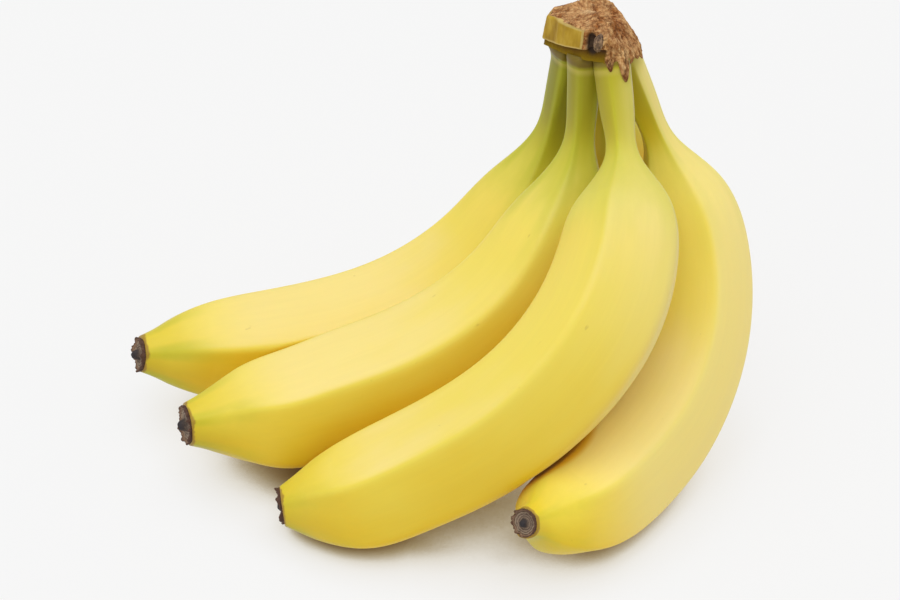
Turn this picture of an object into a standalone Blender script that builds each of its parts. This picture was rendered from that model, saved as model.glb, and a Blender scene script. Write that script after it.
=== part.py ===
"""A bunch of five bananas on one crown, lying on its bellies with the crown up.

Metres, +Z up. The ground is z = 0 and the origin is under the middle of the
bunch. Each banana follows its own bent centre line, from the crown to the
dried blossom end at its tip.
"""
import math

import bmesh
import bpy
import numpy as np

# ---- driving sizes, in metres unless the name says otherwise ----
PIECE_GAP = 0.0003        # clearance between the crown, a banana and its blossom end
PRESS_GAP = 0.0012        # clearance where two bananas lean on each other
SIDES = 20                # faces around a banana
RINGS = 36                # faces along a banana
RIDGE_COUNT = 5           # a banana is softly five-sided
RIDGE_DEPTH = 0.07        # how far the flats lie inside the ridges, as a share
RIDGE_TURN = 115.0        # degrees from the outer side of the bend to the first ridge

TAPER_AT = 0.80           # share of the length where the tip starts to narrow
SEAT_SHARE = 0.80         # recess that the blossom end stands in, against the tip's radius
SEAT_DEPTH = 0.0012
END_HEIGHT = 0.0034       # blossom end, from the seat's floor to its rim
END_SHARE = 1.02          # blossom end's rim against the tip's radius
END_ROOM = 1.6            # room that neighbours leave round a blossom end, against its rim
END_DISH = 0.0007         # how far its middle lies below the rim
NUB_RADIUS = 0.0015       # dried stub in the middle
NUB_HEIGHT = 0.0018

CROWN_Z = 0.1150          # underside of the crown above the ground, at CROWN_Y
CROWN_Y = -0.0210
CROWN_SLOPE = -0.35       # rise of the underside per metre toward the back
CROWN_BEVEL = 0.0008

# share of the length at which each bend below holds
BEND_AT = (0.0, 0.22, 0.42, 0.70, 1.0)

# name: start x and y, length, thickest radius, neck radius, tip radius, share where
# the neck ends, share where full girth starts, then (heading, dip) in degrees along
# the length. Heading turns anticlockwise from +X, dip is above the horizontal.
BANANAS = {
    "banana_left": dict(
        start=(0.0359, -0.0210), length=0.195, radius=0.0183, neck=0.0050,
        tip=0.0056, neck_end=0.16, full_at=0.38,
        bends=((178, -82), (-164, -74), (-163, -43), (-166, -4), (-162, 14))),
    "banana_centre_left": dict(
        start=(0.0392, -0.0305), length=0.188, radius=0.0193, neck=0.0046,
        tip=0.0064, neck_end=0.15, full_at=0.37,
        bends=((-85, -81), (-116, -62), (-153, -42), (-169, -13), (-151, 13))),
    "banana_centre_right": dict(
        start=(0.0467, -0.0342), length=0.188, radius=0.0191, neck=0.0049,
        tip=0.0058, neck_end=0.15, full_at=0.29,
        bends=((-77, -58), (-92, -40), (-135, -43), (-172, -33), (-173, -5))),
    "banana_right": dict(
        start=(0.0499, -0.0236), length=0.187, radius=0.0184, neck=0.0049,
        tip=0.0050, neck_end=0.18, full_at=0.35,
        bends=((-11, -70), (-41, -62), (-91, -49), (-125, -12), (-131, 27))),
    "banana_back": dict(
        start=(0.0435, -0.0155), length=0.1425, radius=0.0161, neck=0.0044,
        tip=0.0050, neck_end=0.19, full_at=0.41,
        bends=((62, -74), (62, -78), (-128, -77), (-120, -32), (-112, 5))),
}

# outline of the crown's underside, x and y, and the height of its wall there
CROWN_PLAN = (
    (0.0275, -0.0205, 0.0105), (0.0335, -0.0305, 0.0110), (0.0395, -0.0370, 0.0110),
    (0.0465, -0.0400, 0.0080), (0.0530, -0.0370, 0.0035), (0.0568, -0.0285, 0.0025),
    (0.0560, -0.0175, 0.0045), (0.0490, -0.0105, 0.0100), (0.0390, -0.0095, 0.0130),
    (0.0300, -0.0140, 0.0120))
CROWN_WALL_SHRINK = 0.90  # outline at the wall's top against the underside
CROWN_TOP_INSET = 0.0060  # from the wall's top to the flat of the cut
CROWN_TOP_RISE = 0.0045


def remove_everything():
    for item in list(bpy.data.objects):
        bpy.data.objects.remove(item, do_unlink=True)


def make_collection(name):
    group = bpy.data.collections.new(name)
    bpy.context.scene.collection.children.link(group)
    return group


def make_material(name, colour, roughness, metallic=0.0):
    material = bpy.data.materials.new(name)
    material.use_nodes = True
    shader = material.node_tree.nodes["Principled BSDF"]
    shader.inputs["Base Color"].default_value = (*colour, 1.0)
    shader.inputs["Roughness"].default_value = roughness
    shader.inputs["Metallic"].default_value = metallic
    return material


def add_object(name, bm, group, material):
    bm.normal_update()
    bmesh.ops.recalc_face_normals(bm, faces=bm.faces[:])
    mesh = bpy.data.meshes.new(name)
    bm.to_mesh(mesh)
    bm.free()
    mesh.shade_smooth()
    mesh.set_sharp_from_angle(angle=math.radians(40))
    item = bpy.data.objects.new(name, mesh)
    mesh.materials.append(material)
    group.objects.link(item)
    return item


def smooth_curve(knots, values, at):
    """Natural cubic curve through values at knots, read at the shares in at."""
    knots = np.asarray(knots, float)
    values = np.asarray(values, float)
    count = len(knots)
    step = np.diff(knots)
    system = np.eye(count)
    right = np.zeros_like(values)
    for i in range(1, count - 1):
        system[i, i - 1] = step[i - 1]
        system[i, i] = 2.0 * (step[i - 1] + step[i])
        system[i, i + 1] = step[i]
        after = (values[i + 1] - values[i]) / step[i]
        before = (values[i] - values[i - 1]) / step[i - 1]
        right[i] = 6.0 * (after - before)
    bend = np.linalg.solve(system, right)
    at = np.asarray(at, float)
    k = np.clip(np.searchsorted(knots, at, side="right") - 1, 0, count - 2)
    h = step[k]
    a = (knots[k + 1] - at) / h
    b = (at - knots[k]) / h
    if values.ndim == 2:
        a = a[:, None]
        b = b[:, None]
        h = h[:, None]
    curve = a * values[k] + b * values[k + 1]
    return curve + ((a**3 - a) * bend[k] + (b**3 - b) * bend[k + 1]) * h * h / 6.0


def crown_underside(x, y):
    return CROWN_Z + CROWN_SLOPE * (y - CROWN_Y)


def unit(vectors):
    return vectors / np.linalg.norm(vectors, axis=-1, keepdims=True)


class Line:
    """A banana's centre line with its radius and cross-section directions."""

    STEPS = 240

    def __init__(self, start, length, radius, neck, tip, neck_end, full_at, bends):
        self.tip = tip
        heading, dip = np.radians(np.array(bends, float)).T
        keys = np.stack([np.cos(dip) * np.cos(heading),
                         np.cos(dip) * np.sin(heading), np.sin(dip)], axis=1)
        self.share = np.linspace(0.0, 1.0, self.STEPS + 1)
        self.along = unit(smooth_curve(BEND_AT, keys, self.share))
        x, y = start
        first = np.array([x, y, crown_underside(x, y) - PIECE_GAP])
        step = 0.5 * (self.along[1:] + self.along[:-1]) * length / self.STEPS
        self.centre = np.vstack([first, first + np.cumsum(step, axis=0)])
        self.radius = self.girth(radius, neck, neck_end, full_at)
        self.out, self.side = self.section_directions()
        # the same line run on through the blossom end, for neighbours to keep clear of
        past = np.linspace(0.2, 1.0, 8)[:, None] * (END_HEIGHT + NUB_HEIGHT)
        self.long_centre = np.vstack([self.centre, self.centre[-1] + past * self.along[-1]])
        self.long_radius = np.append(self.radius, np.full(8, END_ROOM * END_SHARE * self.tip))

    def girth(self, radius, neck, neck_end, full_at):
        grow = full_at - neck_end
        fall = 1.0 - TAPER_AT
        at = (0.0, 0.6 * neck_end, neck_end, neck_end + 0.45 * grow, full_at,
              0.5 * (full_at + TAPER_AT), TAPER_AT, TAPER_AT + 0.5 * fall,
              TAPER_AT + 0.82 * fall, 1.0)
        size = (1.08 * neck, neck, 1.12 * neck, neck + 0.62 * (radius - neck),
                0.94 * radius, radius, 0.93 * radius, 0.74 * radius,
                0.52 * radius, self.tip)
        return np.maximum(smooth_curve(at, size, self.share), 0.9 * neck)

    def section_directions(self):
        """Carry one direction along the line without twist, from the bend's outer side."""
        turn = np.cross(self.along[:-1], self.along[1:]).sum(axis=0)
        turn = turn / np.linalg.norm(turn)
        if turn[2] < 0.0:
            turn = -turn
        out = np.zeros_like(self.along)
        out[0] = unit(np.cross(turn, self.along[0]))
        for i in range(1, len(out)):
            flat = out[i - 1] - self.along[i] * (out[i - 1] @ self.along[i])
            out[i] = unit(flat)
        return out, np.cross(self.along, out)

    def read(self, values, share):
        if values.ndim == 1:
            return np.interp(share, self.share, values)
        return np.stack([np.interp(share, self.share, v) for v in values.T], axis=-1)

    def reach(self, points):
        """Distance of each point from the line over the local radius there."""
        gaps = np.linalg.norm(points[:, None, :] - self.long_centre[None, :, :], axis=2)
        return (gaps / self.long_radius[None, :]).min(axis=1)


def ridged(angle, share):
    """Radius factor of the five-sided section, round at the neck and the tip."""
    fade = np.clip(share / 0.25, 0.0, 1.0) * np.clip((1.0 - share) / 0.10, 0.3, 1.0)
    wave = 0.5 - 0.5 * np.cos(RIDGE_COUNT * (angle - math.radians(RIDGE_TURN)))
    return 1.0 - RIDGE_DEPTH * fade * wave


def lean_in(points, line, centre, others):
    """Pull points toward their own centre until no neighbour is nearer than their own line."""
    arms = points - centre
    low = np.full(len(points), 0.3)
    high = np.ones(len(points))
    for step in range(14):
        middle = 0.5 * (low + high)
        trial = centre + arms * middle[:, None]
        reach = np.linalg.norm(arms, axis=1) * middle / line
        free = np.ones(len(points), bool)
        for other in others:
            free &= other.reach(trial) > reach + PRESS_GAP / line
        low = np.where(free, middle, low)
        high = np.where(free, high, middle)
    start_free = np.ones(len(points), bool)
    own = np.linalg.norm(arms, axis=1) / line
    for other in others:
        start_free &= other.reach(points) > own + PRESS_GAP / line
    scale = np.where(start_free, 1.0, low)
    return centre + arms * scale[:, None]


def level_start(points, share, line):
    """Slide the first ring along the neck onto the crown's slanted underside."""
    first = share < 1e-6
    along = line.along[0]
    x, y, z = points[first].T
    slope = along[2] - CROWN_SLOPE * along[1]
    lift = (crown_underside(x, y) - PIECE_GAP - z) / slope
    points[first] += lift[:, None] * along
    return points


def banana(name, line, others, group, material):
    """A straight tube with a seat in its tip end, bent onto the centre line."""
    bm = bmesh.new()
    bmesh.ops.create_cone(bm, cap_ends=True, segments=SIDES, radius1=1.0, radius2=1.0, depth=1.0)
    long_edges = [e for e in bm.edges if abs(e.verts[0].co.z - e.verts[1].co.z) > 0.5]
    bmesh.ops.subdivide_edges(bm, edges=long_edges, cuts=RINGS - 1, use_grid_fill=True)
    tip_cap = [f for f in bm.faces if f.calc_center_median().z > 0.4999]
    bmesh.ops.inset_region(bm, faces=tip_cap, thickness=0.1)
    coords = np.array([v.co[:] for v in bm.verts])
    inner = set(tip_cap[0].verts)
    seat = np.array([v in inner for v in bm.verts])
    angle = np.arctan2(coords[:, 1], coords[:, 0])
    # rings crowd a little toward the two ends
    even = np.clip(coords[:, 2] + 0.5, 0.0, 1.0)
    share = np.where(seat, 1.0, even - 0.035 * np.sin(2.0 * math.pi * even))
    centre = line.read(line.centre, share)
    radius = line.read(line.radius, share)
    out = unit(line.read(line.out, share))
    side = unit(line.read(line.side, share))
    size = np.where(seat, SEAT_SHARE * line.tip, radius * ridged(angle, share))
    arms = size[:, None] * (np.cos(angle)[:, None] * out + np.sin(angle)[:, None] * side)
    points = centre + arms
    body = ~seat
    points[body] = lean_in(points[body], radius[body], centre[body], others)
    points = level_start(points, share, line)
    for vert, point in zip(bm.verts, points):
        vert.co = point
    bm.normal_update()
    bmesh.ops.inset_region(bm, faces=tip_cap, thickness=0.0, depth=-SEAT_DEPTH)
    return add_object(name, bm, group, material)


def blossom_end(name, line, group, material):
    """Dried stub in the tip's seat: a flared button with a dished face and a nub."""
    bm = bmesh.new()
    sunk = SEAT_DEPTH / END_HEIGHT
    # narrow enough at its foot to clear the seat's mouth on the way out
    rim = END_SHARE * line.tip
    foot = (SEAT_SHARE * line.tip - PIECE_GAP - rim * sunk) / (1.0 - sunk)
    bmesh.ops.create_cone(bm, cap_ends=True, segments=16, radius1=foot, radius2=rim,
                          depth=END_HEIGHT)
    top = [f for f in bm.faces if f.calc_center_median().z > 0.49 * END_HEIGHT]
    bmesh.ops.inset_region(bm, faces=top, thickness=0.22 * rim, depth=-END_DISH)
    bmesh.ops.inset_region(bm, faces=top, thickness=0.70 * rim - NUB_RADIUS)
    bmesh.ops.inset_region(bm, faces=top, thickness=0.2 * NUB_RADIUS, depth=NUB_HEIGHT)
    lift = 0.5 * END_HEIGHT - SEAT_DEPTH + PIECE_GAP
    tip = line.centre[-1]
    for vert in bm.verts:
        x, y, z = vert.co
        vert.co = tip + x * line.out[-1] + y * line.side[-1] + (z + lift) * line.along[-1]
    return add_object(name, bm, group, material)


def crown(name, group, material):
    """Block that all the necks grow from, cut off in a low hip at its top."""
    bm = bmesh.new()
    sides = len(CROWN_PLAN)
    bmesh.ops.create_cone(bm, cap_ends=True, segments=sides, radius1=1.0, radius2=1.0, depth=1.0)
    top = [f for f in bm.faces if f.calc_center_median().z > 0.49]
    middle = np.mean(CROWN_PLAN, axis=0)
    plan = sorted(CROWN_PLAN, key=lambda p: math.atan2(p[1] - middle[1], p[0] - middle[0]))
    for level in (-0.5, 0.5):
        ring = [v for v in bm.verts if abs(v.co.z - level) < 0.01]
        ring.sort(key=lambda v: math.atan2(v.co.y, v.co.x))
        for vert, (x, y, wall) in zip(ring, plan):
            z = crown_underside(x, y)
            if level > 0.0:
                x = middle[0] + CROWN_WALL_SHRINK * (x - middle[0])
                y = middle[1] + CROWN_WALL_SHRINK * (y - middle[1])
                z += wall
            vert.co = (x, y, z)
    bm.normal_update()
    bmesh.ops.inset_region(bm, faces=top, thickness=CROWN_TOP_INSET, depth=CROWN_TOP_RISE)
    bmesh.ops.bevel(bm, geom=bm.edges[:], offset=CROWN_BEVEL, segments=2, profile=0.5,
                    affect="EDGES", material=-1)
    bmesh.ops.triangulate(bm, faces=bm.faces[:])
    return add_object(name, bm, group, material)


def stand_on_ground(items):
    """Lower the whole bunch onto z = 0 and bring its middle over the origin."""
    corners = np.concatenate([np.array([v.co[:] for v in item.data.vertices]) for item in items])
    low = corners.min(axis=0)
    high = corners.max(axis=0)
    shift = (-0.5 * (low[0] + high[0]), -0.5 * (low[1] + high[1]), -low[2])
    for item in items:
        for vert in item.data.vertices:
            vert.co.x += shift[0]
            vert.co.y += shift[1]
            vert.co.z += shift[2]
    return shift


def build():
    remove_everything()
    group = make_collection("banana_bunch")
    peel = make_material("peel", (0.76, 0.56, 0.07), 0.45)
    bark = make_material("crown_bark", (0.36, 0.20, 0.07), 0.8)
    dried = make_material("dried_blossom", (0.10, 0.06, 0.035), 0.9)
    lines = {name: Line(**sizes) for name, sizes in BANANAS.items()}
    items = []
    for name, line in lines.items():
        others = [other for key, other in lines.items() if key != name]
        items.append(banana(name, line, others, group, peel))
        end_name = name.replace("banana", "blossom_end")
        items.append(blossom_end(end_name, line, group, dried))
    items.append(crown("crown", group, bark))
    stand_on_ground(items)


build()
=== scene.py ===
import math

import bmesh
import bpy
import numpy as np
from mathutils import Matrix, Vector, noise
from mathutils.bvhtree import BVHTree


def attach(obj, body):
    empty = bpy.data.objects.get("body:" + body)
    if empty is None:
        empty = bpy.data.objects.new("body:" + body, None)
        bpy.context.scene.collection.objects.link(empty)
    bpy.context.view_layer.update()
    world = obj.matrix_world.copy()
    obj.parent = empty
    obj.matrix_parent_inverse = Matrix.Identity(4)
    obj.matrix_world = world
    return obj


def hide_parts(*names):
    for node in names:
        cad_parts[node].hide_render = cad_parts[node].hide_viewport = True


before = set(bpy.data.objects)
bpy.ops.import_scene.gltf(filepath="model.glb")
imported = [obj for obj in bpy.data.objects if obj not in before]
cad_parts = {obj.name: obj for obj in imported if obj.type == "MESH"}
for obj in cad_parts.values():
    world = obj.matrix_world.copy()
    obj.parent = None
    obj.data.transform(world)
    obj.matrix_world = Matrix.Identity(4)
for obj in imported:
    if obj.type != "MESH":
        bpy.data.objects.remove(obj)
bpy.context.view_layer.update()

# ---- sizes in metres, shares where the name says so ----
PLACE = np.array([0.00411, 0.06491, -0.00088])   # drawing origin of the bunch in the part's frame
PIECE_GAP = 0.0003
PRESS_GAP = 0.0003
FLOOR_GAP = 0.0002
GRAFT = 0.0010                # how far a neck reaches into the crown
AROUND = 120                  # faces around a banana and around its dried end
ALONG = 300                   # faces along a banana
CROWDING = 0.03               # how much closer its faces lie at both ends
BEND_AT = (0.0, 0.22, 0.42, 0.70, 1.0)
RIDGE_COUNT = 5
RIDGE_SHARPNESS = 20.0
RIDGE_DEPTH = 0.80            # share of a full five-sided section
RIDGE_GIRTH = 1.04            # at the ridges, against the round centre-line radius
RIDGE_AT_NECK = 0.45          # share of the ridges left where the neck leaves the crown
RIDGE_GROWS = 0.22            # length in which they grow to full depth
RIDGE_AT_TIP = 0.40
RIDGE_FADES = 0.10
BELLY_WIDTH = 0.085           # lower bulge ahead of the tip
BELLY_GIRTH = 0.06
BELLY_SHIFT = np.array([0.0, -0.0026, 0.0])
NECK_FLARE_END = 0.030
TAPER_AT = 0.80
SQUARE_AT = 0.93              # where the sections start to turn square to the tip's flat end
TIP_LEAN = np.array([0.0, 0.766, -0.643])        # way in which a leaning tip leans
SWAY_AT = 0.52                # share where a centre line leans furthest to one side
SWAY_WIDTH = 0.33
PULL_STEPS = 12               # halvings in the search for room between two bananas
PULL_LEAST = 0.3
LIGHT_FACING_WAY = (0.0, -0.10, 1.0)     # upper side: how far a point faces the overhead light, for painted light and shade
RIGHT_LIGHT_WAY = (0.92, -0.10, 0.35)   # right side: how far a point faces the right lamp, for the palest painted light
CROWN_Z = 0.1150
CROWN_Y = -0.0210
CROWN_SLOPE = -0.35
CROWN_PLAN = (              # x, y and wall height at the ten corners of the crown
    (0.0275, -0.0205, 0.0105), (0.0335, -0.0305, 0.0110), (0.0395, -0.0370, 0.0110),
    (0.0465, -0.0400, 0.0080), (0.0530, -0.0370, 0.0035), (0.0568, -0.0285, 0.0025),
    (0.0560, -0.0175, 0.0045), (0.0490, -0.0105, 0.0100), (0.0390, -0.0095, 0.0130),
    (0.0300, -0.0140, 0.0120))
CROWN_WALL_SHRINK = 0.90
CROWN_TOP_INSET = 0.0060
CROWN_TOP_RISE = 0.0045
CROWN_MIDDLE = np.array([0.0430, -0.0250, 0.1215])
CROWN_SPREAD = 1.15           # widens the fine mesh's rays, for even faces on the wall
CROWN_SHIFT = np.array([-0.0006, 0.0, 0.0])
PLATE_CORNER = np.array([0.0296, -0.0190, 0.1264])   # top left of the smooth cut face
PLATE_WAY = np.array([0.562, -0.827])            # along the cut face, seen from above
PLATE_FACING = np.array([-0.84, -0.53, 0.12])
PLATE_LENGTH = 0.0187
PLATE_LEFT = 0.0034           # how far it runs on past its corner
PLATE_TOP = (0.1264, 0.22)    # height at the corner, and rise along the face
PLATE_FOOT = (0.1172, 0.36)
PLATE_PROUD = 0.0004
PLATE_RIB = (0.0085, 0.0012, 0.0003)   # place along the face, width and height of its rib
BARK_SWELL = 0.00050
BARK_FIBRE = 0.00016
BARK_CRACK = 0.00035
HOLLOW = np.array([0.0411, -0.0368, 0.1265])
HOLLOW_DEPTH = 0.0022
SKIRT_HEIGHT = 0.0035         # ragged bark drawn down over the necks
SKIRT_DROP = 0.0016
KNOT = np.array([0.0467, -0.0290, 0.1259])       # tangle of rust-brown fibre
KNOT_RADIUS = 0.0055
HEEL = np.array([0.0428, -0.0230, 0.1335])       # pale broken heel on the very top
HEEL_RADIUS = 0.0048
SCALE_AT = np.array([0.0428, -0.0375, 0.1277])   # dried scale standing in the hollow
SCALE_SIZE = np.array([0.0015, 0.0013, 0.0030])
CROWN_FLAPS = (             # neck, angle round it, reach, half width, thickness, darkness
    ("crown_tongue", "banana_centre_right", 54.0, 0.0066, 0.0021, 0.0007, 0.6),
    ("crown_lip", "banana_centre_right", 98.0, 0.0030, 0.0015, 0.0007, 1.4),
    ("crown_lobe", "banana_right", 60.0, 0.0036, 0.0017, 0.0007, 0.7),
)
FLAP_ROOT = 0.004             # a flap starts this far up inside the crown
FLAP_STEP = 4                 # step along the neck whose radius sets how wide a flap wraps
END_SIZE = 0.93               # dried end against the tip's radius
END_DEPTH = 0.0009
END_LIFT = 0.0003
END_RINGS = (                 # width against the end's radius, and rise
    (0.04, 0.0003), (0.04, 0.0001), (0.05, -0.0005), (0.07, -0.0004), (0.06, 0.0003),
    (0.06, -0.0003), (0.07, 0.0003), (0.06, -0.0003), (0.07, 0.0002), (0.07, -0.0003),
    (0.07, 0.0002))
NUB_RINGS = ((0.05, 0.0009), (0.05, 0.0008), (0.05, 0.0005))
NUB_CAP = ((0.05, 0.0002), (0.05, 0.0001))
LOOK_DOWN = 40.0              # the camera's angle below level
CAMERA_AWAY = 1.0
LENS = 124.0
FLOOR_SIZE = 3.0
FLOOR_GLOW = 0.79
FLOOR_SHADE_REACH = 0.036     # how close the fruit must come for the painted contact shadow on the floor
WORLD_LIGHT = 0.55
LAMP_AIM = (0.0, 0.0, 0.05)
LAMPS = (                     # place, side and watts
    ("overhead_softbox", (-0.05, 0.02, 1.25), 1.5, 12.0),
    ("right_softbox", (1.1, -0.20, 0.60), 0.6, 1.2),
    ("left_softbox", (-0.9, -0.80, 0.70), 1.0, 2.1),
)

BANANAS = {
    "banana_left": dict(
        start=(0.0359, -0.0210), length=0.195, radius=0.0187, neck=0.0050,
        tip=0.0056, neck_end=0.16, full_at=0.38,
        bends=((178, -82), (-164, -74), (-163, -43), (-166, -4), (-162, 14)),
        green=1.00, turn=95.0, belly=(-0.35, -0.35, 0.92), blunt=0.55, lean=0.00,
        right_light=0.0, nub=1.0, tip_green=0.8, tone=0.970, flare=0.35),
    "banana_centre_left": dict(
        start=(0.0392, -0.0305), length=0.188, radius=0.0195, neck=0.0046,
        tip=0.0064, neck_end=0.15, full_at=0.37,
        bends=((-85, -81), (-116, -62), (-153, -42), (-169, -13), (-151, 13)),
        green=0.74, turn=127.0, belly=(0.95, 0.0, 0.84), blunt=0.2, lean=0.23,
        right_light=0.0, nub=1.0, tip_green=0.7, tone=0.980),
    "banana_centre_right": dict(
        start=(0.0467, -0.0342), length=0.188, radius=0.0188, neck=0.0049,
        tip=0.0058, neck_end=0.15, full_at=0.29,
        bends=((-77, -58), (-92, -40), (-135, -43), (-172, -33), (-173, -5)),
        green=0.42, turn=106.0, belly=(0.9, 0.8, 0.885), blunt=0.75, lean=0.00,
        right_light=1.0, nub=0.35, tip_green=0.3, tone=0.985,
        sway=(0.0020, -0.0020, -0.0006)),
    "banana_right": dict(
        start=(0.0499, -0.0236), length=0.187, radius=0.0184, neck=0.0047,
        tip=0.0045, neck_end=0.18, full_at=0.36,
        bends=((-11, -70), (-41, -62), (-91, -49), (-125, -12), (-131, 27)),
        green=0.10, turn=115.0, belly=(0.6, 0.6, 0.86), blunt=0.3, lean=0.00,
        right_light=1.0, nub=0.7, tip_green=0.35, tone=1.090),
    "banana_back": dict(
        start=(0.0435, -0.0155), length=0.1425, radius=0.0161, neck=0.0044,
        tip=0.0050, neck_end=0.19, full_at=0.41,
        bends=((62, -74), (62, -78), (-128, -77), (-120, -32), (-112, 5)),
        green=0.70, turn=115.0, belly=(0.0, 0.0, 0.86), blunt=0.4, lean=0.00,
        right_light=0.6, nub=1.0, tip_green=0.8, tone=1.0),
}


# ---------------------------------------------------------------- banana shape
def smooth_curve(knots, values, at):
    """Natural cubic curve through values at knots, read at the shares in at."""
    knots = np.asarray(knots, float)
    values = np.asarray(values, float)
    count = len(knots)
    step = np.diff(knots)
    system = np.eye(count)
    right = np.zeros_like(values)
    for i in range(1, count - 1):
        system[i, i - 1] = step[i - 1]
        system[i, i] = 2.0 * (step[i - 1] + step[i])
        system[i, i + 1] = step[i]
        after = (values[i + 1] - values[i]) / step[i]
        before = (values[i] - values[i - 1]) / step[i - 1]
        right[i] = 6.0 * (after - before)
    bend = np.linalg.solve(system, right)
    at = np.asarray(at, float)
    k = np.clip(np.searchsorted(knots, at, side="right") - 1, 0, count - 2)
    h = step[k]
    a = (knots[k + 1] - at) / h
    b = (at - knots[k]) / h
    if values.ndim == 2:
        a = a[:, None]
        b = b[:, None]
        h = h[:, None]
    curve = a * values[k] + b * values[k + 1]
    return curve + ((a**3 - a) * bend[k] + (b**3 - b) * bend[k + 1]) * h * h / 6.0


def crown_underside(y):
    """Height of the sloping face that the necks grow from."""
    return CROWN_Z + CROWN_SLOPE * (y - CROWN_Y)


def unit(vectors):
    return vectors / np.linalg.norm(vectors, axis=-1, keepdims=True)


class Line:
    """A banana's centre line with its radius and cross-section directions."""

    STEPS = 240

    def __init__(self, start, length, radius, neck, tip, neck_end, full_at, bends,
                 green, turn, belly, blunt, lean, right_light, nub, tip_green, tone,
                 flare=0.04, sway=(0.0, 0.0, 0.0)):
        self.tip = tip
        self.green = green
        self.turn = turn
        self.belly_drop, self.belly_girth, self.belly_at = belly
        self.blunt = blunt
        self.flare = flare
        self.right_light = right_light
        self.nub = nub
        self.tip_green = tip_green
        self.tone = tone
        self.lean = lean
        heading, dip = np.radians(np.array(bends, float)).T
        keys = np.stack([np.cos(dip) * np.cos(heading),
                         np.cos(dip) * np.sin(heading), np.sin(dip)], axis=1)
        self.length = length
        self.share = np.linspace(0.0, 1.0, self.STEPS + 1)
        self.along = unit(smooth_curve(BEND_AT, keys, self.share))
        x, y = start
        first = np.array([x, y, crown_underside(y) - PIECE_GAP]) + PLACE
        step = 0.5 * (self.along[1:] + self.along[:-1]) * length / self.STEPS
        self.centre = np.vstack([first, first + np.cumsum(step, axis=0)])
        middle = np.exp(-((self.share - SWAY_AT) / SWAY_WIDTH)**2)
        self.centre += middle[:, None] * np.array(sway)
        self.radius = self.girth(radius, neck, neck_end, full_at)
        self.out, self.side = self.section_directions()

    def girth(self, radius, neck, neck_end, full_at):
        grow = full_at - neck_end
        fall = 1.0 - TAPER_AT
        at = (0.0, 0.6 * neck_end, neck_end, neck_end + 0.45 * grow, full_at,
              0.5 * (full_at + TAPER_AT), TAPER_AT, TAPER_AT + 0.5 * fall,
              TAPER_AT + 0.74 * fall, TAPER_AT + 0.88 * fall, 1.0)
        size = (1.08 * neck, neck, 1.12 * neck, neck + 0.62 * (radius - neck),
                0.94 * radius, radius, 0.94 * radius, (0.75 + 0.05 * self.blunt) * radius,
                (0.51 + 0.12 * self.blunt) * radius, (1.18 + 0.35 * self.blunt) * self.tip,
                self.tip)
        return np.maximum(smooth_curve(at, size, self.share), 0.9 * neck)

    def section_directions(self):
        """Carry one direction along the line without twist, from the bend's outer side."""
        turn = np.cross(self.along[:-1], self.along[1:]).sum(axis=0)
        turn = turn / np.linalg.norm(turn)
        if turn[2] < 0.0:
            turn = -turn
        out = np.zeros_like(self.along)
        out[0] = unit(np.cross(turn, self.along[0]))
        for i in range(1, len(out)):
            flat = out[i - 1] - self.along[i] * (out[i - 1] @ self.along[i])
            out[i] = unit(flat)
        return out, np.cross(self.along, out)

    def read(self, values, share):
        if values.ndim == 1:
            return np.interp(share, self.share, values)
        return np.stack([np.interp(share, self.share, v) for v in values.T], axis=-1)

    def reach(self, points):
        """Distance of each point from the line over the local radius there."""
        square = (points**2).sum(1)[:, None] - 2.0 * points @ self.centre.T
        square += (self.centre**2).sum(1)[None, :]
        return np.sqrt((np.maximum(square, 0.0) / self.radius[None, :]**2).min(axis=1))


def ridged(angle, share, turn):
    """Radius factor of the five-sided section, rounder at the neck and the tip."""
    fade = np.clip(RIDGE_AT_NECK + share / RIDGE_GROWS, 0.0, 1.0)
    fade = fade * np.clip((1.0 - share) / RIDGE_FADES, RIDGE_AT_TIP, 1.0)
    faces = np.zeros_like(angle)
    for k in range(RIDGE_COUNT):
        away = angle - math.radians(turn + 180.0 / RIDGE_COUNT) - 2.0 * math.pi * k / RIDGE_COUNT
        faces += np.maximum(np.cos(away), 0.0)**RIDGE_SHARPNESS
    section = faces**(-1.0 / RIDGE_SHARPNESS)
    corner = (2.0 * math.cos(math.pi / RIDGE_COUNT)**RIDGE_SHARPNESS)**(-1.0 / RIDGE_SHARPNESS)
    return RIDGE_GIRTH - RIDGE_DEPTH * fade * (1.0 - section / corner)


def lean_in(points, radius, centre, others):
    """Pull points toward their own centre until no neighbour is nearer than their own line."""
    arms = points - centre
    size = np.linalg.norm(arms, axis=1)
    own = (size + PRESS_GAP) / radius
    near = np.zeros(len(points), bool)
    for other in others:
        near |= other.reach(points) < own
    arms_near = arms[near]
    low = np.full(len(arms_near), PULL_LEAST)
    high = np.ones(len(arms_near))
    for step in range(PULL_STEPS):
        middle = 0.5 * (low + high)
        trial = centre[near] + arms_near * middle[:, None]
        reach = (size[near] * middle + PRESS_GAP) / radius[near]
        free = np.ones(len(trial), bool)
        for other in others:
            free &= other.reach(trial) > reach
        low = np.where(free, middle, low)
        high = np.where(free, high, middle)
    scale = np.ones(len(points))
    scale[near] = low
    return centre + arms * scale[:, None]


def smoothstep(low, high, values):
    t = np.clip((values - low) / (high - low), 0.0, 1.0)
    return t * t * (3.0 - 2.0 * t)


def fractal(points, scale, octaves=4, seed=0.0):
    """Uneven growth: a sum of ever finer noises at each point."""
    shift = Vector((seed, 1.7 * seed, -seed))
    return np.array([noise.fractal(Vector(p) * scale + shift, 0.8, 2.1, octaves)
                     for p in points])


def finished(bm, name):
    """The bmesh as a mesh."""
    mesh = bpy.data.meshes.new(name)
    bm.to_mesh(mesh)
    bm.free()
    return mesh


def ball(name, fineness):
    """A fine round mesh to be shaped point by point."""
    bm = bmesh.new()
    bmesh.ops.create_icosphere(bm, subdivisions=fineness, radius=1.0)
    return finished(bm, name)


def read_points(mesh):
    points = np.zeros(len(mesh.vertices) * 3, np.float32)
    mesh.vertices.foreach_get("co", points)
    return points.reshape(-1, 3).astype(float)


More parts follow.
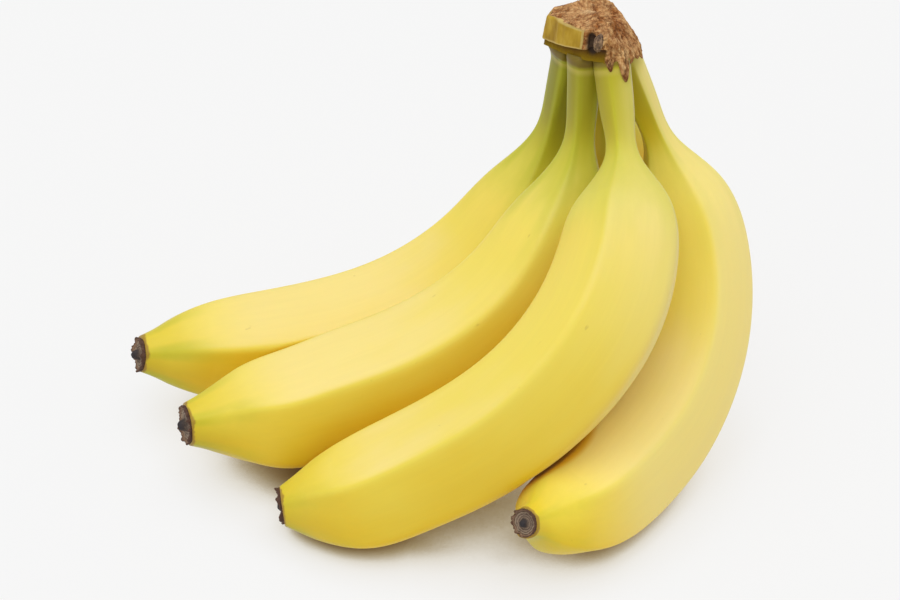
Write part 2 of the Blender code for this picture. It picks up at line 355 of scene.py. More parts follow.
def read_normals(mesh):
    normals = np.zeros(len(mesh.vertices) * 3, np.float32)
    mesh.vertex_normals.foreach_get("vector", normals)
    return normals.reshape(-1, 3).astype(float)


def write_points(mesh, points):
    mesh.vertices.foreach_set("co", np.ascontiguousarray(points, dtype=np.float32).ravel())
    mesh.update()


def link(name, mesh, material, nodes):
    """Put a finished mesh in the scene, riding with the bunch, for the nodes it stands for."""
    mesh.shade_smooth()
    item = bpy.data.objects.new(name, mesh)
    mesh.materials.append(material)
    bpy.context.scene.collection.objects.link(item)
    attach(item, "root")
    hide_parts(*nodes)
    return item


def store(mesh, name, values):
    """Keep one value or one vector a point, for the material to read."""
    kind = "FLOAT" if values.ndim == 1 else "FLOAT_VECTOR"
    field = "value" if values.ndim == 1 else "vector"
    layer = mesh.attributes.new(name, kind, "POINT")
    layer.data.foreach_set(field, np.ascontiguousarray(values, dtype=np.float32).ravel())


def tip_way(line):
    """Direction the flat end of a tip faces, leaning off its centre line."""
    return unit(line.along[-1] + line.lean * TIP_LEAN)


def banana(name, line, others, material):
    """Peel: a straight tube bent onto the centre line, closed at the tip and at the neck."""
    bm = bmesh.new()
    bmesh.ops.create_cone(bm, cap_ends=True, segments=AROUND, radius1=1.0, radius2=1.0, depth=1.0)
    long_edges = [e for e in bm.edges if abs(e.verts[0].co.z - e.verts[1].co.z) > 0.5]
    bmesh.ops.subdivide_edges(bm, edges=long_edges, cuts=ALONG - 1, use_grid_fill=True)
    mesh = finished(bm, name)
    coords = read_points(mesh)
    angle = np.arctan2(coords[:, 1], coords[:, 0])
    even = np.clip(coords[:, 2] + 0.5, 0.0, 1.0)
    share = even - CROWDING * np.sin(2.0 * math.pi * even)
    centre = line.read(line.centre, share)
    radius = line.read(line.radius, share)
    out = unit(line.read(line.out, share))
    side = unit(line.read(line.side, share))
    swell = np.exp(-((share - line.belly_at) / BELLY_WIDTH)**2)
    radius = radius * (1.0 + line.belly_girth * BELLY_GIRTH * swell)
    centre = centre + line.belly_drop * swell[:, None] * BELLY_SHIFT
    flare = np.clip(1.0 - share / NECK_FLARE_END, 0.0, 1.0)**2
    size = radius * ridged(angle, share, line.turn) * (1.0 + line.flare * flare)
    arms = size[:, None] * (np.cos(angle)[:, None] * out + np.sin(angle)[:, None] * side)
    points = lean_in(centre + arms, radius, centre, others)

    # the neck ends on the crown's underside, the tip on its own flat end
    first = even < 1e-5
    along = line.along[0]
    y, z = (points[first] - PLACE).T[1:]
    slope = along[2] - CROWN_SLOPE * along[1]
    points[first] += ((crown_underside(y) + GRAFT - z) / slope)[:, None] * along
    end_way = tip_way(line)
    arm = points - centre
    ending = smoothstep(SQUARE_AT, 1.0, share)
    points -= (ending * (arm @ end_way) / (line.along[-1] @ end_way))[:, None] * line.along[-1]
    points[:, 2] = np.maximum(points[:, 2], FLOOR_GAP)
    write_points(mesh, points)

    # where each point lies on the peel, for the material
    straight = np.stack([radius * np.cos(angle), radius * np.sin(angle),
                         share * line.length], axis=-1)
    store(mesh, "straight", straight)
    store(mesh, "share", share)
    wave = np.abs(np.cos(0.5 * RIDGE_COUNT * (angle - math.radians(line.turn))))
    store(mesh, "ridge", wave)
    normals = read_normals(mesh)
    # how far each point faces the light, for the painted light and shade in the material
    store(mesh, "light_facing", normals @ unit(np.array(LIGHT_FACING_WAY)))
    store(mesh, "right_light", normals @ unit(np.array(RIGHT_LIGHT_WAY)) - (1.0 - line.right_light))
    store(mesh, "green", np.full(len(points), line.green))
    store(mesh, "tone", np.full(len(points), line.tone))
    store(mesh, "tip_green", np.full(len(points), line.tip_green))
    store(mesh, "crease", np.min([other.reach(points) for other in others], axis=0) - 1.0)
    return link(name + "_peel", mesh, material, [name])


def blossom_end(name, line, turn, material):
    """Dried stub on a tip: a ragged ringed disc with a nub, one ring at a time from the rim."""
    size = END_SIZE * line.tip
    bm = bmesh.new()
    bmesh.ops.create_cone(bm, cap_ends=True, segments=AROUND, radius1=0.96 * size, radius2=size,
                          depth=END_DEPTH)
    top = [f for f in bm.faces if f.calc_center_median().z > 0.45 * END_DEPTH]
    nub = tuple((width, rise * line.nub) for width, rise in NUB_RINGS)
    for width, rise in END_RINGS + nub + NUB_CAP:
        bmesh.ops.inset_region(bm, faces=top, thickness=width * size, depth=rise)
    side = [e for e in bm.edges
            if abs(abs(e.verts[0].co.z - e.verts[1].co.z) - END_DEPTH) < 1e-5]
    bmesh.ops.subdivide_edges(bm, edges=side, cuts=4, use_grid_fill=True)
    mesh = finished(bm, name)
    points = read_points(mesh)
    across = np.hypot(points[:, 0], points[:, 1]) / size
    angle = np.arctan2(points[:, 1], points[:, 0]) + turn
    edge = np.clip((across - 0.60) / 0.40, 0.0, 1.0)
    rough = fractal(points, 900.0, 4, turn)
    ring = np.stack([np.cos(angle), np.sin(angle), 0.0 * angle], axis=1)
    ragged = fractal(ring, 2.6, 4, 2.0 * turn)
    grow = 1.0 + 0.07 * edge * ragged + 0.03 * rough
    points[:, 0] *= grow
    points[:, 1] *= grow
    points[:, 2] += np.where(points[:, 2] > 0.0, 0.0009 * edge * ragged + 0.00025 * rough, 0.0)
    way = tip_way(line)
    out = unit(np.cross(line.side[-1], way))
    side_way = np.cross(way, out)
    place = (line.centre[-1] + points[:, :1] * out + points[:, 1:2] * side_way
             + (points[:, 2:3] + END_LIFT) * way)
    write_points(mesh, place)
    store(mesh, "across", across)
    store(mesh, "flat", points)
    return link(name + "_dried", mesh, material, [name])


def crown_block():
    """Plain faceted block under the crown's rough surface, for the fine mesh to lie on."""
    bm = bmesh.new()
    bmesh.ops.create_cone(bm, cap_ends=True, segments=len(CROWN_PLAN), radius1=1.0, radius2=1.0,
                          depth=1.0)
    top = [f for f in bm.faces if f.calc_center_median().z > 0.49]
    middle = np.mean(CROWN_PLAN, axis=0)
    plan = sorted(CROWN_PLAN, key=lambda p: math.atan2(p[1] - middle[1], p[0] - middle[0]))
    for level in (-0.5, 0.5):
        ring = [v for v in bm.verts if abs(v.co.z - level) < 0.01]
        ring.sort(key=lambda v: math.atan2(v.co.y, v.co.x))
        for vert, (x, y, wall) in zip(ring, plan):
            z = crown_underside(y)
            if level > 0.0:
                x = middle[0] + CROWN_WALL_SHRINK * (x - middle[0])
                y = middle[1] + CROWN_WALL_SHRINK * (y - middle[1])
                z += wall
            vert.co = (x, y, z)
    bm.normal_update()
    bmesh.ops.inset_region(bm, faces=top, thickness=CROWN_TOP_INSET, depth=CROWN_TOP_RISE)
    tree = BVHTree.FromBMesh(bm)
    bm.free()
    return tree


def crown(material):
    """Fibrous cut crown with a smooth cut face at the front left and a hollow beside it."""
    tree = crown_block()
    bm = bmesh.new()
    bmesh.ops.create_icosphere(bm, subdivisions=7, radius=1.0)
    origin = Vector(CROWN_MIDDLE)
    for vert in bm.verts:
        way = Vector((vert.co.x * CROWN_SPREAD, vert.co.y * CROWN_SPREAD, vert.co.z)).normalized()
        vert.co = tree.ray_cast(origin, way)[0]
    for step in range(3):
        bmesh.ops.smooth_vert(bm, verts=bm.verts[:], factor=0.5, use_axis_x=True,
                              use_axis_y=True, use_axis_z=True)
    mesh = finished(bm, "crown")
    points = read_points(mesh)
    normals = read_normals(mesh)

    # the smooth face: how far inside its outline each point is, and how far along it
    along = (points - PLATE_CORNER)[:, :2] @ PLATE_WAY
    facing = normals @ unit(PLATE_FACING)
    rise = points[:, 2]
    high = PLATE_TOP[0] + PLATE_TOP[1] * along
    low = PLATE_FOOT[0] + PLATE_FOOT[1] * along
    depth = (points - PLATE_CORNER) @ unit(PLATE_FACING)
    inside = np.minimum.reduce([high - rise, rise - low, along + PLATE_LEFT, depth + 0.0022,
                                PLATE_LENGTH - along, 0.02 * (facing - 0.35)])
    plate = smoothstep(-0.0002, 0.0003, inside)

    # the green stub below it, the underside, the bark that is everything else, and the hollow
    stub = (smoothstep(0.0002, -0.0004, rise - low) * smoothstep(0.30, 0.45, facing + 0.6)
            * smoothstep(0.0275, 0.0235, along))
    under = smoothstep(-0.6, -0.85, normals[:, 2])
    bark = (1.0 - plate) * (1.0 - stub) * (1.0 - under)
    dent = np.linalg.norm((points - HOLLOW) * np.array([1.0, 0.8, 0.5]), axis=1)
    hollow = smoothstep(0.0026, 0.0010, dent)

    broad = fractal(points, 160.0, 3, 3.0)
    fibre = fractal(points * np.array([1.0, 1.0, 0.45]), 620.0, 5, 7.0)
    crack = 1.0 - np.abs(fractal(points * np.array([0.8, 1.6, 0.9]), 330.0, 4, 11.0))
    crack = np.clip((crack - 0.80) / 0.20, 0.0, 1.0)
    push = bark * (BARK_SWELL * broad + BARK_FIBRE * fibre - BARK_CRACK * crack)
    rib_at, rib_width, rib_height = PLATE_RIB
    rib = rib_height * np.exp(-((along - rib_at) / rib_width)**2)
    push += plate * (PLATE_PROUD + rib + 0.00005 * fibre)
    push -= stub * (PLATE_PROUD + 0.00008 * fibre)
    push -= HOLLOW_DEPTH * hollow
    points += push[:, None] * normals

    # ragged skirt of bark drawn down over the necks
    wall = rise - crown_underside(points[:, 1])
    around = np.arctan2(points[:, 1] - CROWN_MIDDLE[1], points[:, 0] - CROWN_MIDDLE[0])
    ring = np.stack([np.cos(around), np.sin(around), np.zeros(len(around))], axis=1)
    tatter = 0.5 + fractal(ring, 3.4, 4, 5.0)
    skirt = smoothstep(SKIRT_HEIGHT, 0.0005, wall) * (1.0 - stub) * (1.0 - under)
    points[:, 2] -= SKIRT_DROP * skirt * np.clip(tatter, 0.0, 1.2)
    knot = np.exp(-(np.linalg.norm(points - KNOT, axis=1) / KNOT_RADIUS)**2)
    heel = np.exp(-(np.linalg.norm(points - HEEL, axis=1) / HEEL_RADIUS)**4)
    write_points(mesh, points + PLACE + CROWN_SHIFT)
    marks = {"knot": knot, "heel": heel, "upward": normals[:, 2], "plate": inside,
             "along": along, "stub": stub, "hollow": hollow, "crack": crack, "wall": wall}
    for mark, values in marks.items():
        store(mesh, mark, values)
    return link("crown_cut", mesh, material, ["crown"])


def dried_scale(material):
    """Small shrivelled scale standing in the hollow beside the smooth face."""
    mesh = ball("dried_scale", 5)
    points = read_points(mesh)
    rough = fractal(points, 1.6, 4, 9.0)
    points *= SCALE_SIZE * (1.0 + 0.14 * rough)[:, None]
    points[:, 0] += 0.12 * points[:, 2]
    write_points(mesh, points + SCALE_AT + PLACE)
    store(mesh, "rough", rough)
    return link("dried_scale", mesh, material, ["crown"])


def crown_flap(name, line, turn, reach, wide, thick, dark, material):
    """Strip of dried bark running from the crown down a neck."""
    mesh = ball(name, 5)
    points = read_points(mesh)
    down = 0.5 * (points[:, 2] + 1.0)
    share = (down * (reach + FLAP_ROOT) - FLAP_ROOT) / line.length
    taper = 1.0 - 0.45 * down
    neck_radius = line.radius[FLAP_STEP]
    angle = math.radians(turn) + points[:, 0] * wide * taper / neck_radius
    above = np.minimum(share, 0.0)[:, None] * line.length * line.along[0]
    centre = line.read(line.centre, share) + above
    radius = line.read(line.radius, share)
    radius = radius * ridged(angle, np.clip(share, 0.0, 1.0), line.turn)
    rough = fractal(points, 2.2, 4, 2.0)
    arms = radius + thick * (points[:, 1] + 0.35) * (1.0 + 0.5 * rough)
    arms = np.maximum(arms, 0.5 * radius)
    out = (np.cos(angle)[:, None] * line.read(line.out, share)
           + np.sin(angle)[:, None] * line.read(line.side, share))
    write_points(mesh, centre + arms[:, None] * out)
    zero = np.zeros(len(points))
    for mark in ("knot", "upward", "along", "stub", "hollow"):
        store(mesh, mark, zero)
    store(mesh, "plate", zero - 1.0)
    store(mesh, "crack", np.clip(dark - 2.0 * rough, 0.0, 1.7))
    store(mesh, "wall", 0.004 * (1.0 - down))
    return link(name, mesh, material, ["crown"])


# ---------------------------------------------------------------- materials
class Nodes:
    """Short way to lay out a material's nodes."""

    def __init__(self, name):
        self.material = bpy.data.materials.new(name)
        self.material.use_nodes = True
        self.tree = self.material.node_tree
        self.shader = self.tree.nodes["Principled BSDF"]

    def add(self, kind, **settings):
        node = self.tree.nodes.new(kind)
        for key, value in settings.items():
            setattr(node, key, value)
        return node

    def join(self, source, target):
        self.tree.links.new(source, target)

    def field(self, name, output="Fac"):
        """A value stored on the mesh's points."""
        return self.add("ShaderNodeAttribute", attribute_name=name).outputs[output]

    def ramp(self, source, stops):
        """Colours at set values of the source, blended in between."""
        node = self.add("ShaderNodeValToRGB")
        ramp = node.color_ramp
        while len(ramp.elements) > 1:
            ramp.elements.remove(ramp.elements[0])
        ramp.elements[0].position = stops[0][0]
        ramp.elements[0].color = (*stops[0][1], 1.0)
        for at, colour in stops[1:]:
            ramp.elements.new(at).color = (*colour, 1.0)
        self.join(source, node.inputs["Fac"])
        return node.outputs["Color"]

    def grade(self, source, low, high, to_low=0.0, to_high=1.0):
        """A soft step: to_low where the source is low, to_high where it is high."""
        node = self.add("ShaderNodeMapRange", interpolation_type="SMOOTHSTEP")
        self.join(source, node.inputs["Value"])
        node.inputs["From Min"].default_value = low
        node.inputs["From Max"].default_value = high
        node.inputs["To Min"].default_value = to_low
        node.inputs["To Max"].default_value = to_high
        return node.outputs["Result"]

    def scaled(self, source, scale):
        node = self.add("ShaderNodeMapping")
        self.join(source, node.inputs["Vector"])
        node.inputs["Scale"].default_value = scale
        return node.outputs["Vector"]

    def noise(self, source, scale, detail=3.0, roughness=0.5):
        node = self.add("ShaderNodeTexNoise")
        self.join(source, node.inputs["Vector"])
        node.inputs["Scale"].default_value = scale
        node.inputs["Detail"].default_value = detail
        node.inputs["Roughness"].default_value = roughness
        return node.outputs["Fac"]

    def maths(self, operation, a, b):
        node = self.add("ShaderNodeMath", operation=operation)
        for socket, value in zip(node.inputs, (a, b)):
            if isinstance(value, (int, float)):
                socket.default_value = value
            else:
                self.join(value, socket)
        return node.outputs["Value"]

    def times(self, a, b):
        return self.maths("MULTIPLY", a, b)

    def plus(self, a, b):
        return self.maths("ADD", a, b)

    def centred(self, noise, amount):
        """A noise that runs from minus to plus half the amount."""
        return self.times(self.maths("SUBTRACT", noise, 0.5), amount)

    def stray(self, source, noise, amount):
        """A value made uneven by a noise, so that its borders wander."""
        return self.plus(source, self.centred(noise, amount))

    def warped(self, source, scale, amount):
        """A place pushed about by a noise, for lines that curl."""
        swirl = self.add("ShaderNodeTexNoise")
        self.join(source, swirl.inputs["Vector"])
        swirl.inputs["Scale"].default_value = scale
        small = self.add("ShaderNodeVectorMath", operation="SCALE")
        self.join(swirl.outputs["Color"], small.inputs[0])
        small.inputs["Scale"].default_value = amount
        bent = self.add("ShaderNodeVectorMath", operation="ADD")
        self.join(source, bent.inputs[0])
        self.join(small.outputs["Vector"], bent.inputs[1])
        return bent.outputs["Vector"]

    def blend(self, share, a, b, way="MIX"):
        """Colour a, going over to colour b as the share goes from 0 to 1."""
        node = self.add("ShaderNodeMix", data_type="RGBA", blend_type=way)
        for name, value in (("Factor", share), ("A", a), ("B", b)):
            kinds = "VALUE" if name == "Factor" else "RGBA"
            socket = [s for s in node.inputs if s.name == name and s.type == kinds][0]
            if isinstance(value, (int, float)):
                socket.default_value = value
            elif isinstance(value, tuple):
                socket.default_value = (*value, 1.0)
            else:
                self.join(value, socket)
        return [s for s in node.outputs if s.type == "RGBA"][0]

    def bump(self, height, distance, strength=1.0, normal=None):
        node = self.add("ShaderNodeBump")
        self.join(height, node.inputs["Height"])
        node.inputs["Distance"].default_value = distance
        node.inputs["Strength"].default_value = strength
        if normal is not None:
            self.join(normal, node.inputs["Normal"])
        return node.outputs["Normal"]


def shade(r, g, b):
    """A display colour, 0 to 255, as the linear values a shader takes."""
    return tuple((c / 255.0 / 12.92) if c <= 10 else ((c / 255.0 + 0.055) / 1.055)**2.4
                 for c in (r, g, b))


def peel_material():
    """Yellow peel: green in the neck, faint lines along it, with painted light: paler on top and
    on the right, and painted gold shade in the creases.
    """
    n = Nodes("banana_peel")
    share = n.field("share")
    ridge = n.field("ridge")
    straight = n.field("straight", "Vector")
    patchy = n.noise(n.scaled(straight, (70.0, 70.0, 30.0)), 1.0, 3.0)
    drift = n.stray(share, patchy, 0.10)
    light_facing = n.field("light_facing")
    # painted light and shade: deep yellow on the lower, shaded sides, paler on top where the
    # light falls, and painted right-side light on the right
    deep = n.ramp(drift, [
        (0.00, shade(166, 146, 10)), (0.08, shade(182, 162, 12)),
        (0.15, shade(202, 178, 14)), (0.23, shade(222, 190, 16)),
        (0.32, shade(230, 192, 18)), (0.60, shade(231, 191, 18)), (0.90, shade(230, 192, 20)),
        (1.00, shade(210, 182, 22))])
    pale = n.ramp(drift, [
        (0.00, shade(186, 170, 36)), (0.08, shade(200, 186, 44)),
        (0.14, shade(216, 202, 60)), (0.20, shade(230, 213, 88)),
        (0.30, shade(236, 215, 92)), (0.60, shade(235, 214, 86)), (0.90, shade(235, 213, 76)),
        (1.00, shade(218, 195, 44))])
    wander = n.centred(patchy, 0.25)
    turned = n.plus(light_facing, wander)
    mixed = n.blend(n.grade(turned, 0.10, 0.72), deep, pale)
    # painted highlight: palest on the faces turned most to the overhead light
    top_highlight = n.times(n.grade(turned, 0.72, 1.0), n.grade(share, 0.98, 0.80))
    top_highlight = n.times(top_highlight, n.grade(drift, 0.12, 0.22))
    mixed = n.blend(top_highlight, mixed, shade(238, 217, 130))
    # painted light: palest on the right side, facing the right lamp, on the bananas that take it
    right_light = n.field("right_light")
    body = n.grade(share, 0.20, 0.34)
    right_lit_pale = n.times(n.grade(n.plus(right_light, wander), 0.26, 0.86), n.grade(share, 0.0, 0.05))
    right_lit_pale = n.times(right_lit_pale, n.grade(share, 0.96, 0.76))
    mixed = n.blend(n.times(right_lit_pale, 0.75), mixed, shade(233, 214, 130))
    # painted shade: deep gold where a neighbour lies close
    crease = n.field("crease")
    crease_shade = n.times(n.grade(crease, 0.10, 0.00), body)
    mixed = n.blend(n.times(crease_shade, 0.9), mixed, shade(220, 172, 6))
    # green left in the neck, deepest at the crown, painted darker on its lower, shaded side, and
    # a little at the tip's underside
    green = n.field("green")
    collar = n.times(n.grade(drift, 0.10, 0.17), n.grade(drift, 0.29, 0.20))
    collar = n.times(collar, n.grade(green, 0.15, 0.40, 0.0, 0.32))
    mixed = n.blend(collar, mixed, shade(204, 204, 56))
    necked = n.times(n.grade(drift, 0.30, 0.06), green)
    neck_green_and_shade = n.blend(n.grade(light_facing, -0.3, 0.7), shade(120, 116, 4), shade(166, 164, 24))
    mixed = n.blend(necked, mixed, neck_green_and_shade)
    tipped = n.times(n.grade(drift, 0.88, 1.0), n.grade(light_facing, 0.25, -0.6))
    mixed = n.blend(n.times(tipped, 0.6), mixed, shade(150, 152, 26))
    # unripe green stays along the ridges toward the tip and over the shoulder
    ends = n.plus(n.grade(share, 0.86, 0.98), n.grade(share, 0.42, 0.20))
    on_ridge = n.times(n.grade(ridge, 0.60, 1.0), ends)
    smudged = n.times(on_ridge, n.grade(patchy, 0.30, 0.62, 0.15, 0.70))
    tip_green = n.field("tip_green")
    greened = n.blend(n.times(smudged, tip_green), mixed, shade(176, 180, 30))
    # faint lines along the banana, and each banana's overall brightness, partly painted light:
    # banana_right is brightened for the light it takes
    streak = n.noise(n.scaled(straight, (700.0, 700.0, 14.0)), 1.0, 4.0, 0.6)
    tone = n.field("tone")
    faint = n.times(n.grade(streak, 0.25, 0.8, 0.985, 1.01), tone)
    grey = n.add("ShaderNodeCombineColor")
    for socket in grey.inputs:
        n.join(faint, socket)
    lined = n.blend(1.0, greened, grey.outputs["Color"], "MULTIPLY")
    # small brown freckles, a browned edge at the tip, a painted highlight on the rim at the
    # crown, and a brown band at the crown
    spots = n.noise(n.scaled(straight, (1.0, 1.0, 0.5)), 420.0, 2.0, 0.4)
    freckle = n.times(n.grade(spots, 0.75, 0.82), 0.20)
    marked = n.blend(freckle, lined, shade(140, 96, 40))
    browned = n.stray(share, spots, 0.012)
    marked = n.blend(n.grade(browned, 0.9955, 0.9990, 0.0, 0.70), marked, shade(140, 92, 34))
    # painted highlight along the neck's rim below the crown
    rim = n.times(n.grade(share, 0.010, 0.014), n.grade(share, 0.026, 0.015, 0.0, 0.35))
    marked = n.blend(rim, marked, shade(206, 188, 96))
    near_top = n.stray(share, patchy, 0.014)
    top_end = n.grade(near_top, 0.011, 0.003, 0.0, 0.85)
    marked = n.blend(n.times(top_end, n.grade(green, 0.2, 0.5)), marked, shade(104, 78, 14))
    n.join(marked, n.shader.inputs["Base Color"])
    n.join(n.grade(streak, 0.2, 0.8, 0.42, 0.54), n.shader.inputs["Roughness"])
    pores = n.noise(n.scaled(straight, (1.0, 1.0, 0.6)), 2600.0, 2.0)
    normal = n.bump(pores, 0.00002, 0.4)
    normal = n.bump(streak, 0.00002, 0.3, normal)
    n.join(normal, n.shader.inputs["Normal"])
    n.shader.inputs["Subsurface Weight"].default_value = 0.10
    n.shader.inputs["Subsurface Radius"].default_value = (0.006, 0.003, 0.0006)
    n.shader.inputs["Subsurface Scale"].default_value = 1.0
    n.shader.inputs["Specular IOR Level"].default_value = 0.30
    n.shader.inputs["Sheen Weight"].default_value = 0.08
    n.shader.inputs["Sheen Roughness"].default_value = 0.55
    return n.material


def blossom_material():
    """Woody rings of grey and brown around a dark centre."""
    n = Nodes("dried_blossom")
    across = n.field("across")
    flat = n.field("flat", "Vector")
    grain = n.noise(flat, 900.0, 4.0, 0.65)
    wobble = n.stray(across, grain, 0.22)
    rings = n.ramp(wobble, [
        (0.00, shade(40, 36, 38)), (0.20, shade(46, 40, 42)), (0.30, shade(70, 58, 52)),
        (0.40, shade(150, 128, 106)), (0.47, shade(84, 66, 54)), (0.56, shade(160, 138, 116)),
        (0.63, shade(82, 62, 50)), (0.72, shade(168, 146, 122)), (0.79, shade(92, 70, 54)),
        (0.86, shade(150, 120, 94)), (0.92, shade(96, 66, 48)), (1.00, shade(74, 48, 36))])
    n.join(rings, n.shader.inputs["Base Color"])
    n.shader.inputs["Roughness"].default_value = 0.8
    n.join(n.bump(grain, 0.0003, 0.8), n.shader.inputs["Normal"])
    return n.material


def crown_material():
    """Fibrous bark, the smooth cut face and the green stub below it, with painted shadow on the
    stub under the face and painted shade in the hollow.
    """
    n = Nodes("cut_crown")
    place = n.add("ShaderNodeTexCoord").outputs["Object"]
    plate = n.field("plate")
    stub = n.field("stub")
    hollow = n.field("hollow")
    crack = n.field("crack")
    wall = n.field("wall")
    # dried fibres: tan and rust strands with dark cracks between
    strand = n.noise(n.scaled(place, (700.0, 1100.0, 330.0)), 1.0, 5.0, 0.68)
    patch = n.noise(place, 230.0, 4.0, 0.6)
    fibres = n.ramp(strand, [
        (0.30, shade(84, 48, 24)), (0.40, shade(150, 100, 58)), (0.50, shade(196, 148, 94)),
        (0.60, shade(218, 176, 120)), (0.75, shade(238, 204, 152))])
    upward = n.field("upward")
    fibres = n.blend(n.grade(upward, 0.35, 0.80, 0.0, 0.25), fibres, shade(166, 120, 88))
    knot = n.field("knot")
    cells = n.add("ShaderNodeTexVoronoi", feature="DISTANCE_TO_EDGE")
    n.join(n.warped(place, 420.0, 0.0034), cells.inputs["Vector"])
    cells.inputs["Scale"].default_value = 560.0
    strands = n.grade(cells.outputs["Distance"], 0.10, 0.01)
    tangled = n.plus(n.grade(upward, 0.35, 0.80, 0.10, 0.55), n.times(knot, 0.60))
    tangled = n.times(tangled, n.grade(patch, 0.38, 0.60, 0.25, 1.0))
    rusty = n.plus(patch, n.times(knot, 0.26))
    rust = n.blend(n.grade(rusty, 0.50, 0.72, 0.0, 0.80), fibres, shade(146, 84, 34))
    rust = n.blend(n.times(knot, 0.50), rust, shade(132, 80, 38))
    webbed = n.times(crack, n.plus(n.times(knot, 0.5), 0.50))
    cracked = n.blend(webbed, rust, shade(84, 48, 28))
    cracked = n.blend(n.times(strands, tangled), cracked, shade(70, 38, 28))
    edge = n.stray(wall, patch, 0.004)
    skirted = n.blend(n.grade(edge, 0.0016, -0.0004, 0.0, 0.7), cracked, shade(112, 66, 32))
    heel = n.field("heel")
    skirted = n.blend(n.times(heel, 0.85), skirted, shade(244, 214, 168))
    # smooth cut face, pale along its borders
    rub = n.noise(n.scaled(place, (260.0, 260.0, 110.0)), 1.0, 3.0, 0.5)
    face = n.ramp(rub, [
        (0.30, shade(134, 100, 22)), (0.46, shade(158, 124, 34)), (0.58, shade(176, 142, 42)),
        (0.75, shade(196, 164, 66))])
    along = n.field("along")
    tanned = n.blend(n.grade(along, 0.0004, -0.0008, 0.0, 0.8), face, shade(186, 138, 74))
    bordered = n.blend(n.grade(plate, 0.0009, 0.0002, 0.0, 0.7), tanned, shade(214, 190, 120))
    # the stub's own olive and brown, painted darker up toward the cut face as painted shadow
    # under it
    level = n.plus(n.times(wall, 160.0), n.times(rub, 0.4))
    stub_colour_and_shade = n.ramp(level, [
        (0.15, shade(140, 116, 20)), (0.40, shade(124, 98, 16)), (0.65, shade(104, 76, 18)),
        (0.90, shade(70, 46, 24))])
    jag = n.stray(plate, patch, 0.0009)
    with_face = n.blend(n.grade(jag, -0.0001, 0.0001), skirted, bordered)
    with_stub = n.blend(n.grade(stub, 0.35, 0.65), with_face, stub_colour_and_shade)
    # painted shade: dark in the hollow
    dark = n.blend(n.grade(hollow, 0.15, 0.75, 0.0, 0.92), with_stub, shade(62, 50, 44))
    n.join(dark, n.shader.inputs["Base Color"])
    n.join(n.grade(plate, -0.0001, 0.0003, 0.85, 0.50), n.shader.inputs["Roughness"])
    n.shader.inputs["Specular IOR Level"].default_value = 0.08
    deep = n.grade(plate, -0.0001, 0.0003, 1.0, 0.12)
    height = n.times(n.plus(strand, patch), deep)
    n.join(n.bump(height, 0.0005, 0.7), n.shader.inputs["Normal"])
    return n.material


def scale_material():
    """Mottled grey-brown of the shrivelled scale."""
    n = Nodes("dried_scale")
    rough = n.field("rough")
    place = n.add("ShaderNodeTexCoord").outputs["Object"]
    grain = n.noise(place, 1400.0, 4.0, 0.6)
    mottle = n.plus(n.times(rough, 0.3), grain)
    n.join(n.ramp(mottle, [(0.25, shade(56, 42, 34)), (0.5, shade(112, 86, 64)),
                           (0.8, shade(156, 126, 94))]), n.shader.inputs["Base Color"])
    n.shader.inputs["Roughness"].default_value = 0.8
    n.join(n.bump(grain, 0.0003, 0.7), n.shader.inputs["Normal"])
    return n.material


def floor_material():
    """A light table, lit from below, with a painted contact shadow, in brown, where the fruit
    comes close to it.
    """
    n = Nodes("pale_floor")
    n.shader.inputs["Base Color"].default_value = (0.12, 0.12, 0.12, 1.0)
    n.shader.inputs["Roughness"].default_value = 1.0
    n.shader.inputs["Specular IOR Level"].default_value = 0.0
    close = n.add("ShaderNodeAmbientOcclusion", samples=32)
    close.inputs["Distance"].default_value = FLOOR_SHADE_REACH
    # painted contact shadow: the glow turns brown and dark near the fruit
    glow_and_contact_shadow = n.ramp(close.outputs["AO"], [
        (0.10, shade(56, 24, 0)), (0.20, shade(112, 84, 36)), (0.29, shade(176, 160, 126)),
        (0.38, shade(236, 231, 220)), (0.52, shade(250, 248, 244)), (0.80, shade(255, 255, 255))])
    n.join(glow_and_contact_shadow, n.shader.inputs["Emission Color"])
    n.shader.inputs["Emission Strength"].default_value = FLOOR_GLOW
    return n.material


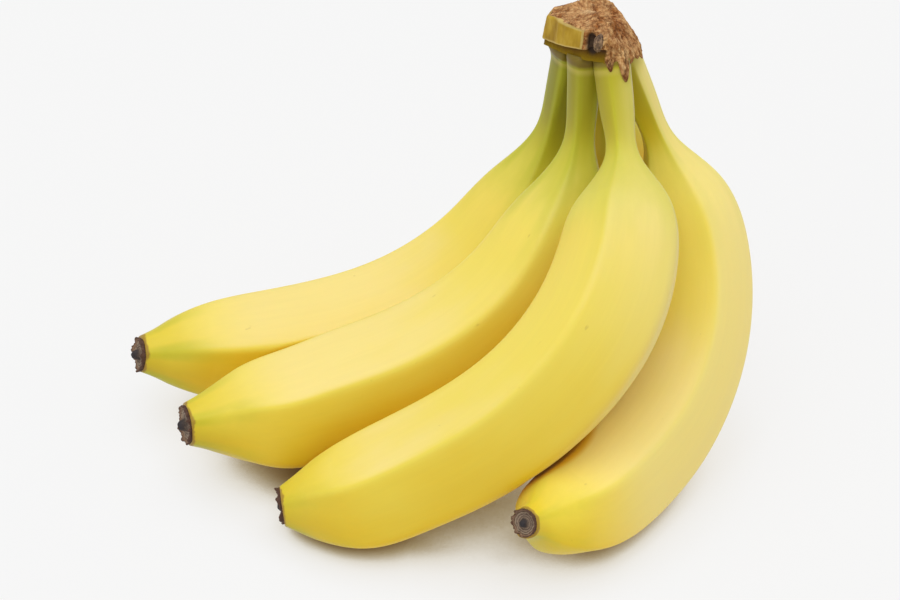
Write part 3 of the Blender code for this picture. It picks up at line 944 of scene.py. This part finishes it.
# ---------------------------------------------------------------- studio
def studio():
    """Pale floor, even white surroundings and three square soft lights."""
    bm = bmesh.new()
    bmesh.ops.create_grid(bm, x_segments=1, y_segments=1, size=FLOOR_SIZE)
    mesh = finished(bm, "floor")
    mesh.materials.append(floor_material())
    floor = bpy.data.objects.new("floor", mesh)
    bpy.context.scene.collection.objects.link(floor)

    world = bpy.data.worlds.new("studio")
    bpy.context.scene.world = world
    world.use_nodes = True
    sky = world.node_tree.nodes["Background"]
    sky.inputs["Color"].default_value = (1.0, 1.0, 1.0, 1.0)
    sky.inputs["Strength"].default_value = WORLD_LIGHT

    for name, place, side, watts in LAMPS:
        data = bpy.data.lights.new(name, "AREA")
        data.shape = "SQUARE"
        data.size = side
        data.energy = watts
        lamp = bpy.data.objects.new(name, data)
        lamp.location = place
        aim = Vector(LAMP_AIM) - Vector(place)
        lamp.rotation_euler = aim.to_track_quat("-Z", "Y").to_euler()
        bpy.context.scene.collection.objects.link(lamp)

    view = bpy.context.scene.view_settings
    view.view_transform = "Standard"
    view.look = "None"


def camera():
    """A long lens that looks down on the bunch from in front."""
    data = bpy.data.cameras.new("camera")
    data.lens = LENS
    data.sensor_width = 36.0
    item = bpy.data.objects.new("camera", data)
    down = math.radians(LOOK_DOWN)
    back = Vector((0.0, -math.cos(down), math.sin(down)))
    item.location = Vector(PLACE) + CAMERA_AWAY * back
    item.rotation_euler = (math.radians(90.0) - down, 0.0, 0.0)
    bpy.context.scene.collection.objects.link(item)
    bpy.context.scene.camera = item


# ---------------------------------------------------------------- the bunch
peel = peel_material()
dried = blossom_material()
lines = {name: Line(**sizes) for name, sizes in BANANAS.items()}
for name, line in lines.items():
    others = [other for key, other in lines.items() if key != name]
    banana(name, line, others, peel)
    end_name = name.replace("banana", "blossom_end")
    blossom_end(end_name, line, 1.7 * len(name), dried)
bark = crown_material()
crown(bark)
for flap, neck, turn, reach, wide, thick, dark in CROWN_FLAPS:
    crown_flap(flap, lines[neck], turn, reach, wide, thick, dark, bark)
dried_scale(scale_material())
studio()
camera()
